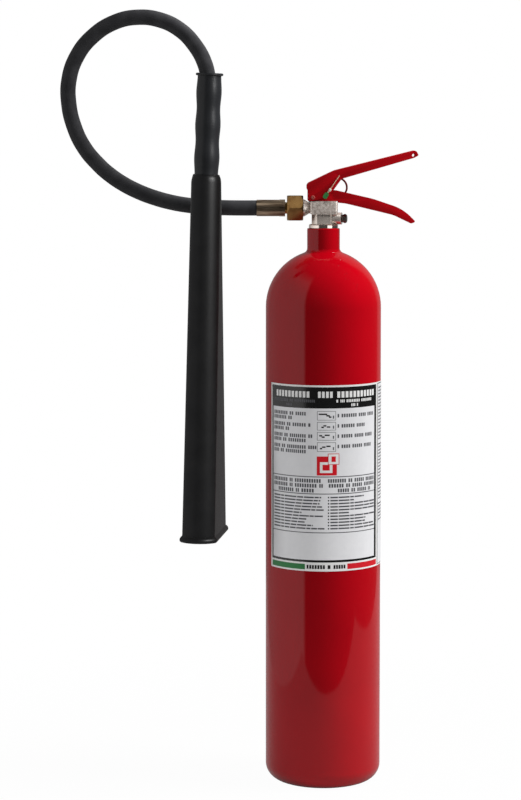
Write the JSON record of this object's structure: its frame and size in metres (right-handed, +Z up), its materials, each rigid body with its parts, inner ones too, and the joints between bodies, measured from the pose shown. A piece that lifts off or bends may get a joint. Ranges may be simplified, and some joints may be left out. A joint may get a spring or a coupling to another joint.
{
  "type": "fire extinguisher",
  "caption": "Portable carbon dioxide fire extinguisher: red steel cylinder, squeeze-lever valve with safety pin and seal, black hose in an open loop, and a flat flared horn with a grip.",
  "frame": {"origin": "centre of the cylinder's foot ring, on the floor", "axes": "+Z up along the cylinder's axis, +X the way the squeeze handles point, -Y the front"},
  "size_m": [0.4304, 0.1627, 0.938],
  "materials": {
    "cylinder_enamel": "gloss red enamel",
    "lever_enamel": "satin red powder coat",
    "valve_nickel": "dull nickel plate",
    "nut_brass": "aged turned brass",
    "ferrule_bronze": "yellow zinc plate, crimped",
    "fitting_brass": "turned brass",
    "stem_steel": "turned steel",
    "spring_steel": "drawn steel",
    "plug_steel": "blackened steel",
    "tube_aluminium": "drawn tube",
    "hose_rubber": "matt black, fine fabric mark",
    "grip_rubber": "satin black",
    "seal_rubber": "satin black",
    "horn_plastic": "satin black, fine grain",
    "seal_plastic": "matt white",
    "pin_enamel": "satin dark red",
    "seal_wire": "drawn coppered wire",
    "seal_green": "moulded green"
  },
  "bodies": {
    "body": {"cylinder": "cylinder_enamel", "neck_seal": "seal_rubber", "valve_body": "valve_nickel", "dip_tube": "tube_aluminium", "dip_tube_retainer": "fitting_brass", "poppet_spring": "spring_steel", "stem_o_ring": "seal_rubber", "stem_gland": "fitting_brass", "burst_disc": "spring_steel", "burst_disc_washer": "seal_plastic", "burst_disc_plug": "plug_steel", "union_nut": "nut_brass", "hose_tail": "fitting_brass", "valve_ferrule": "ferrule_bronze", "hose": "hose_rubber", "horn_ferrule": "ferrule_bronze", "discharge_nozzle": "fitting_brass", "grip_sleeve": "grip_rubber", "horn": "horn_plastic", "carry_handle": "lever_enamel", "handle_rivet": "lever_enamel", "pivot_pin": "stem_steel"},
    "lever": {"operating_lever": "lever_enamel", "seal_wire": "seal_wire", "tamper_seal": "seal_green"},
    "stem": {"stem": "stem_steel", "poppet": "fitting_brass", "poppet_seal": "seal_plastic"},
    "pin": {"safety_pin": "pin_enamel"}
  },
  "joints": [
    {"name": "lever_pivot", "type": "hinge", "parent": "body", "child": "lever", "pos_m": [-0.0131, 0, 0.7132], "axis": [0, 1, 0], "range_deg": [0, 15], "stiffness_Nm_per_rad": 2, "springref_deg": -20.05},
    {"name": "stem_slide", "type": "slide", "parent": "body", "child": "stem", "axis": [0, 0, -1], "range_m": [0, 0.0056], "deforming": ["poppet_spring"]},
    {"name": "safety_pin_pull", "type": "slide", "parent": "body", "child": "pin", "axis": [0, 1, 0], "range_m": [0, 0.06]}
  ],
  "couplings": [
    {"joint": "stem_slide", "follows": "lever_pivot", "m_per_rad": 0.0205}
  ]
}
